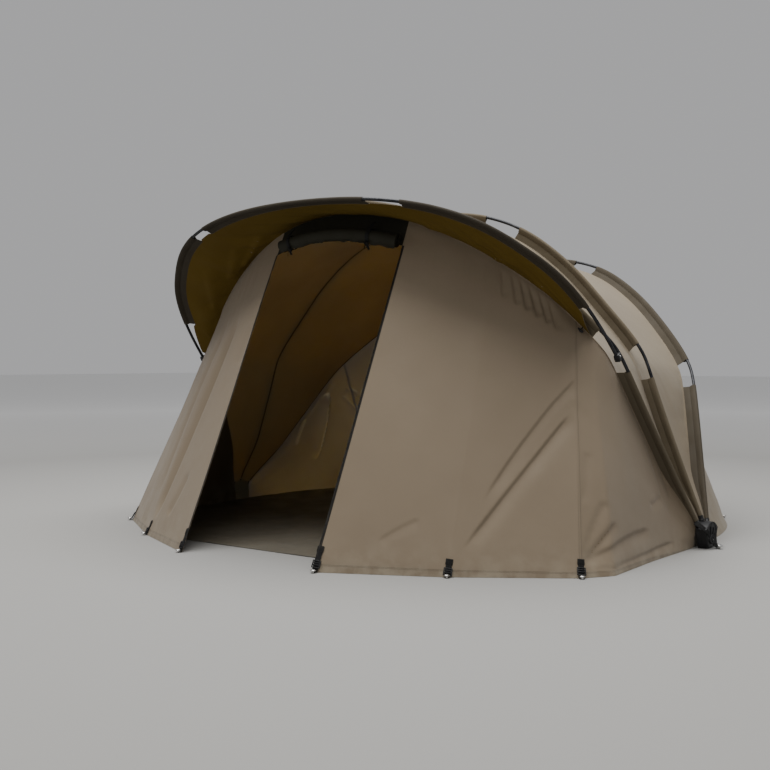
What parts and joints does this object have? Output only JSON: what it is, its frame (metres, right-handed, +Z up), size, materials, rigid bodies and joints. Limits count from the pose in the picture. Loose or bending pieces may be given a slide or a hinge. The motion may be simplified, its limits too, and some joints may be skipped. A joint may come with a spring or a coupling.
{
  "type": "bivvy tent",
  "caption": "Two-person bivvy tent with bent ribs fanned from ground hubs, a peaked porch, an open doorway with its door rolled up, and a groundsheet.",
  "frame": {"origin": "on the ground midway between the two hubs", "axes": "+X to the right hub, +Y to the back, +Z up; the doorway faces -Y"},
  "size_m": [3.178, 3.1956, 1.7395],
  "materials": {
    "cloth": "matt coated nylon cloth, taupe",
    "sleeve": "darker woven pole sleeve",
    "door_roll": "dark cloth rolled up",
    "groundsheet": "heavy coated groundsheet",
    "pole": "black anodised tube",
    "hub": "moulded black plastic",
    "webbing": "black webbing with plastic and steel fittings"
  },
  "bodies": {
    "root": {"back_panel_left": "cloth", "back_panel_middle": "cloth", "back_panel_right": "cloth", "back_tab_left": "webbing", "back_tab_middle": "webbing", "back_tab_right": "webbing", "door_roll": "door_roll", "door_tie_left": "webbing", "door_tie_right": "webbing", "flank_left": "cloth", "flank_right": "cloth", "front_bay_roof": "cloth", "front_bay_wall_left": "cloth", "front_bay_wall_right": "cloth", "front_panel_left": "cloth", "front_panel_right": "cloth", "front_pole": "pole", "front_sleeve_crown": "sleeve", "front_sleeve_leg_left": "sleeve", "front_sleeve_leg_right": "sleeve", "front_sleeve_shoulder_left": "sleeve", "front_sleeve_shoulder_right": "sleeve", "front_tab_left_1": "webbing", "front_tab_left_2": "webbing", "front_tab_left_3": "webbing", "front_tab_right_1": "webbing", "front_tab_right_2": "webbing", "front_tab_right_3": "webbing", "groundsheet": "groundsheet", "hub_left": "hub", "hub_right": "hub", "lintel": "cloth", "middle_pole": "pole", "middle_sleeve_crown": "sleeve", "middle_sleeve_leg_left": "sleeve", "middle_sleeve_leg_right": "sleeve", "middle_sleeve_shoulder_left": "sleeve", "middle_sleeve_shoulder_right": "sleeve", "porch_canopy": "cloth", "porch_knuckle_left": "hub", "porch_knuckle_right": "hub", "porch_pole": "pole", "porch_sleeve_crown": "sleeve", "porch_sleeve_left": "sleeve", "porch_sleeve_right": "sleeve", "rear_bay_roof": "cloth", "rear_bay_wall_left": "cloth", "rear_bay_wall_right": "cloth", "rear_pole": "pole", "rear_sleeve_crown": "sleeve", "rear_sleeve_leg_left": "sleeve", "rear_sleeve_leg_right": "sleeve", "rear_sleeve_shoulder_left": "sleeve", "rear_sleeve_shoulder_right": "sleeve"}
  },
  "joints": []
}
